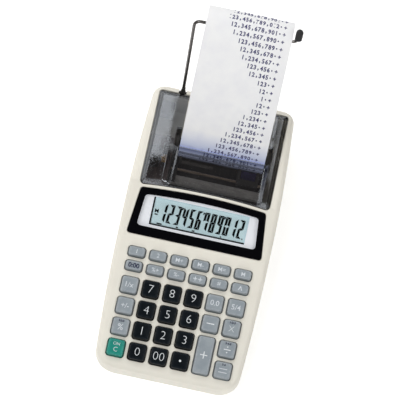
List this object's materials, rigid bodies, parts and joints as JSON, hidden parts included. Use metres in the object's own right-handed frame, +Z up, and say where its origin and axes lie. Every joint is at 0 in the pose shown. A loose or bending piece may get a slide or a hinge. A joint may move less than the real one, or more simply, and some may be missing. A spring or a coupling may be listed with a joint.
{
  "type": "printing calculator",
  "caption": "Desk-top hand-held printing calculator with sloping keyboard, tilted display, clear printer cover, printed paper strip and folding wire paper arm.",
  "frame": {"origin": "middle of the bounding box, on the plane that the feet stand on", "axes": "+Z up, +Y from the keys towards the printer end, +X to the right of someone who uses the keys"},
  "size_m": [0.102, 0.2298, 0.1078],
  "materials": {
    "cream_plastic": "fine satin ABS, slightly yellowed cream",
    "key_black": "satin black, printed white figures",
    "key_grey": "satin grey-blue, printed pale marks",
    "key_green": "satin green, printed pale marks",
    "smoky_plastic": "clear smoke-tinted moulding",
    "window": "clear acrylic plate, black border printed on its back",
    "pale_plastic": "satin off-white",
    "lcd_glass": "grey-green liquid crystal glass with black segments",
    "black_plastic": "satin black",
    "steel": "bright drawn steel",
    "bright_wire": "nickel-plated wire",
    "brass": "machined",
    "rubber": "matt black rubber",
    "mat_rubber": "silicone keypad sheet",
    "circuit_board": "solder-masked glass-fibre board",
    "ink_felt": "ink-soaked felt",
    "paper": "uncoated white paper with blue-violet print"
  },
  "bodies": {
    "root": {"upper_case": "cream_plastic", "lower_case": "cream_plastic", "front_foot": "rubber", "rear_foot": "rubber", "dc_jack": "black_plastic", "key_mat": "mat_rubber", "main_board": "circuit_board", "display_window": "window", "lcd_holder": "pale_plastic", "lcd_panel": "lcd_glass", "printer_chassis": "black_plastic", "drive_motor": "steel", "guide_rod": "steel", "paper_strip": "paper"},
    "arm": {"paper_arm": "bright_wire", "arm_hub": "black_plastic", "arm_end_cap": "rubber"},
    "cover": {"printer_cover": "smoky_plastic", "tear_bar": "smoky_plastic"},
    "door": {"battery_door": "cream_plastic"},
    "roller": {"feed_roller": "rubber", "feed_gear": "pale_plastic"},
    "pinion": {"motor_pinion": "brass"},
    "carriage": {"print_carriage": "black_plastic"},
    "ink": {"ink_roller": "ink_felt"},
    "key_clear_body": {"key_clear": "key_green"},
    "key_0_body": {"key_0": "key_black"},
    "key_00_body": {"key_00": "key_black"},
    "key_point_body": {"key_point": "key_black"},
    "key_equals_body": {"key_equals": "key_grey"},
    "key_percent_body": {"key_percent": "key_grey"},
    "key_1_body": {"key_1": "key_black"},
    "key_2_body": {"key_2": "key_black"},
    "key_3_body": {"key_3": "key_black"},
    "key_divide_body": {"key_divide": "key_grey"},
    "key_sign_body": {"key_sign": "key_grey"},
    "key_4_body": {"key_4": "key_black"},
    "key_5_body": {"key_5": "key_black"},
    "key_6_body": {"key_6": "key_black"},
    "key_minus_body": {"key_minus": "key_grey"},
    "key_multiply_body": {"key_multiply": "key_grey"},
    "key_root_body": {"key_root": "key_grey"},
    "key_7_body": {"key_7": "key_black"},
    "key_8_body": {"key_8": "key_black"},
    "key_9_body": {"key_9": "key_black"},
    "key_decimals_body": {"key_decimals": "key_grey"},
    "key_round_body": {"key_round": "key_grey"},
    "key_plus_body": {"key_plus": "key_grey"},
    "key_time_body": {"key_time": "key_grey"},
    "key_date_body": {"key_date": "key_grey"},
    "key_tax_add_body": {"key_tax_add": "key_grey"},
    "key_tax_take_body": {"key_tax_take": "key_grey"},
    "key_print_body": {"key_print": "key_grey"},
    "key_feed_body": {"key_feed": "key_grey"},
    "key_rate_one_body": {"key_rate_one": "key_grey"},
    "key_rate_two_body": {"key_rate_two": "key_grey"},
    "key_memory_add_body": {"key_memory_add": "key_grey"},
    "key_memory_take_body": {"key_memory_take": "key_grey"},
    "key_memory_recall_body": {"key_memory_recall": "key_grey"},
    "key_memory_clear_body": {"key_memory_clear": "key_grey"}
  },
  "joints": [
    {"name": "paper_arm_fold", "type": "hinge", "parent": "root", "child": "arm", "pos_m": [-0.0288, 0.07418, 0.0387], "axis": [-1, 0, 0], "range_deg": [0, 70]},
    {"name": "printer_cover_hinge", "type": "hinge", "parent": "root", "child": "cover", "pos_m": [0, 0.06788, 0.0395], "axis": [-1, 0, 0], "range_deg": [0, 60]},
    {"name": "battery_door_lift", "type": "slide", "parent": "root", "child": "door", "axis": [0, 0, -1], "range_m": [0, 0.02]},
    {"name": "print_carriage_slide", "type": "slide", "parent": "root", "child": "carriage", "axis": [1, 0, 0], "range_m": [-0.0375, 0]},
    {"name": "feed_roller_spin", "type": "hinge", "parent": "root", "child": "roller", "pos_m": [0, 0.03737, 0.03306], "axis": [1, 0, 0], "continuous": true},
    {"name": "motor_spin", "type": "hinge", "parent": "root", "child": "pinion", "pos_m": [0, 0.0293, 0.0298], "axis": [1, 0, 0], "continuous": true},
    {"name": "ink_roller_spin", "type": "hinge", "parent": "carriage", "child": "ink", "pos_m": [0, 0.02628, 0.0361], "axis": [1, 0, 0], "continuous": true},
    {"name": "key_clear_press", "type": "slide", "parent": "root", "child": "key_clear_body", "axis": [0, -0.1392, 0.9903], "range_m": [-0.0015, 0], "stiffness_N_per_m": 150, "springref_m": 0.002},
    {"name": "key_0_press", "type": "slide", "parent": "root", "child": "key_0_body", "axis": [0, -0.1392, 0.9903], "range_m": [-0.0015, 0], "stiffness_N_per_m": 150, "springref_m": 0.002},
    {"name": "key_00_press", "type": "slide", "parent": "root", "child": "key_00_body", "axis": [0, -0.1392, 0.9903], "range_m": [-0.0015, 0], "stiffness_N_per_m": 150, "springref_m": 0.002},
    {"name": "key_point_press", "type": "slide", "parent": "root", "child": "key_point_body", "axis": [0, -0.1392, 0.9903], "range_m": [-0.0015, 0], "stiffness_N_per_m": 150, "springref_m": 0.002},
    {"name": "key_equals_press", "type": "slide", "parent": "root", "child": "key_equals_body", "axis": [0, -0.1392, 0.9903], "range_m": [-0.0015, 0], "stiffness_N_per_m": 150, "springref_m": 0.002},
    {"name": "key_percent_press", "type": "slide", "parent": "root", "child": "key_percent_body", "axis": [0, -0.1392, 0.9903], "range_m": [-0.0015, 0], "stiffness_N_per_m": 150, "springref_m": 0.002},
    {"name": "key_1_press", "type": "slide", "parent": "root", "child": "key_1_body", "axis": [0, -0.1392, 0.9903], "range_m": [-0.0015, 0], "stiffness_N_per_m": 150, "springref_m": 0.002},
    {"name": "key_2_press", "type": "slide", "parent": "root", "child": "key_2_body", "axis": [0, -0.1392, 0.9903], "range_m": [-0.0015, 0], "stiffness_N_per_m": 150, "springref_m": 0.002},
    {"name": "key_3_press", "type": "slide", "parent": "root", "child": "key_3_body", "axis": [0, -0.1392, 0.9903], "range_m": [-0.0015, 0], "stiffness_N_per_m": 150, "springref_m": 0.002},
    {"name": "key_divide_press", "type": "slide", "parent": "root", "child": "key_divide_body", "axis": [0, -0.1392, 0.9903], "range_m": [-0.0015, 0], "stiffness_N_per_m": 150, "springref_m": 0.002},
    {"name": "key_sign_press", "type": "slide", "parent": "root", "child": "key_sign_body", "axis": [0, -0.1392, 0.9903], "range_m": [-0.0015, 0], "stiffness_N_per_m": 150, "springref_m": 0.002},
    {"name": "key_4_press", "type": "slide", "parent": "root", "child": "key_4_body", "axis": [0, -0.1392, 0.9903], "range_m": [-0.0015, 0], "stiffness_N_per_m": 150, "springref_m": 0.002},
    {"name": "key_5_press", "type": "slide", "parent": "root", "child": "key_5_body", "axis": [0, -0.1392, 0.9903], "range_m": [-0.0015, 0], "stiffness_N_per_m": 150, "springref_m": 0.002},
    {"name": "key_6_press", "type": "slide", "parent": "root", "child": "key_6_body", "axis": [0, -0.1392, 0.9903], "range_m": [-0.0015, 0], "stiffness_N_per_m": 150, "springref_m": 0.002},
    {"name": "key_minus_press", "type": "slide", "parent": "root", "child": "key_minus_body", "axis": [0, -0.1392, 0.9903], "range_m": [-0.0015, 0], "stiffness_N_per_m": 150, "springref_m": 0.002},
    {"name": "key_multiply_press", "type": "slide", "parent": "root", "child": "key_multiply_body", "axis": [0, -0.1392, 0.9903], "range_m": [-0.0015, 0], "stiffness_N_per_m": 150, "springref_m": 0.002},
    {"name": "key_root_press", "type": "slide", "parent": "root", "child": "key_root_body", "axis": [0, -0.1392, 0.9903], "range_m": [-0.0015, 0], "stiffness_N_per_m": 150, "springref_m": 0.002},
    {"name": "key_7_press", "type": "slide", "parent": "root", "child": "key_7_body", "axis": [0, -0.1392, 0.9903], "range_m": [-0.0015, 0], "stiffness_N_per_m": 150, "springref_m": 0.002},
    {"name": "key_8_press", "type": "slide", "parent": "root", "child": "key_8_body", "axis": [0, -0.1392, 0.9903], "range_m": [-0.0015, 0], "stiffness_N_per_m": 150, "springref_m": 0.002},
    {"name": "key_9_press", "type": "slide", "parent": "root", "child": "key_9_body", "axis": [0, -0.1392, 0.9903], "range_m": [-0.0015, 0], "stiffness_N_per_m": 150, "springref_m": 0.002},
    {"name": "key_decimals_press", "type": "slide", "parent": "root", "child": "key_decimals_body", "axis": [0, -0.1392, 0.9903], "range_m": [-0.0015, 0], "stiffness_N_per_m": 150, "springref_m": 0.002},
    {"name": "key_round_press", "type": "slide", "parent": "root", "child": "key_round_body", "axis": [0, -0.1392, 0.9903], "range_m": [-0.0015, 0], "stiffness_N_per_m": 150, "springref_m": 0.002},
    {"name": "key_plus_press", "type": "slide", "parent": "root", "child": "key_plus_body", "axis": [0, -0.1392, 0.9903], "range_m": [-0.0015, 0], "stiffness_N_per_m": 150, "springref_m": 0.002},
    {"name": "key_time_press", "type": "slide", "parent": "root", "child": "key_time_body", "axis": [0, -0.1392, 0.9903], "range_m": [-0.0015, 0], "stiffness_N_per_m": 150, "springref_m": 0.002},
    {"name": "key_date_press", "type": "slide", "parent": "root", "child": "key_date_body", "axis": [0, -0.1392, 0.9903], "range_m": [-0.0015, 0], "stiffness_N_per_m": 150, "springref_m": 0.002},
    {"name": "key_tax_add_press", "type": "slide", "parent": "root", "child": "key_tax_add_body", "axis": [0, -0.1392, 0.9903], "range_m": [-0.0015, 0], "stiffness_N_per_m": 150, "springref_m": 0.002},
    {"name": "key_tax_take_press", "type": "slide", "parent": "root", "child": "key_tax_take_body", "axis": [0, -0.1392, 0.9903], "range_m": [-0.0015, 0], "stiffness_N_per_m": 150, "springref_m": 0.002},
    {"name": "key_print_press", "type": "slide", "parent": "root", "child": "key_print_body", "axis": [0, -0.1392, 0.9903], "range_m": [-0.0015, 0], "stiffness_N_per_m": 150, "springref_m": 0.002},
    {"name": "key_feed_press", "type": "slide", "parent": "root", "child": "key_feed_body", "axis": [0, -0.1392, 0.9903], "range_m": [-0.0015, 0], "stiffness_N_per_m": 150, "springref_m": 0.002},
    {"name": "key_rate_one_press", "type": "slide", "parent": "root", "child": "key_rate_one_body", "axis": [0, -0.1392, 0.9903], "range_m": [-0.0015, 0], "stiffness_N_per_m": 150, "springref_m": 0.002},
    {"name": "key_rate_two_press", "type": "slide", "parent": "root", "child": "key_rate_two_body", "axis": [0, -0.1392, 0.9903], "range_m": [-0.0015, 0], "stiffness_N_per_m": 150, "springref_m": 0.002},
    {"name": "key_memory_add_press", "type": "slide", "parent": "root", "child": "key_memory_add_body", "axis": [0, -0.1392, 0.9903], "range_m": [-0.0015, 0], "stiffness_N_per_m": 150, "springref_m": 0.002},
    {"name": "key_memory_take_press", "type": "slide", "parent": "root", "child": "key_memory_take_body", "axis": [0, -0.1392, 0.9903], "range_m": [-0.0015, 0], "stiffness_N_per_m": 150, "springref_m": 0.002},
    {"name": "key_memory_recall_press", "type": "slide", "parent": "root", "child": "key_memory_recall_body", "axis": [0, -0.1392, 0.9903], "range_m": [-0.0015, 0], "stiffness_N_per_m": 150, "springref_m": 0.002},
    {"name": "key_memory_clear_press", "type": "slide", "parent": "root", "child": "key_memory_clear_body", "axis": [0, -0.1392, 0.9903], "range_m": [-0.0015, 0], "stiffness_N_per_m": 150, "springref_m": 0.002}
  ],
  "couplings": [
    {"joint": "motor_spin", "follows": "feed_roller_spin", "ratio": -2.4}
  ]
}
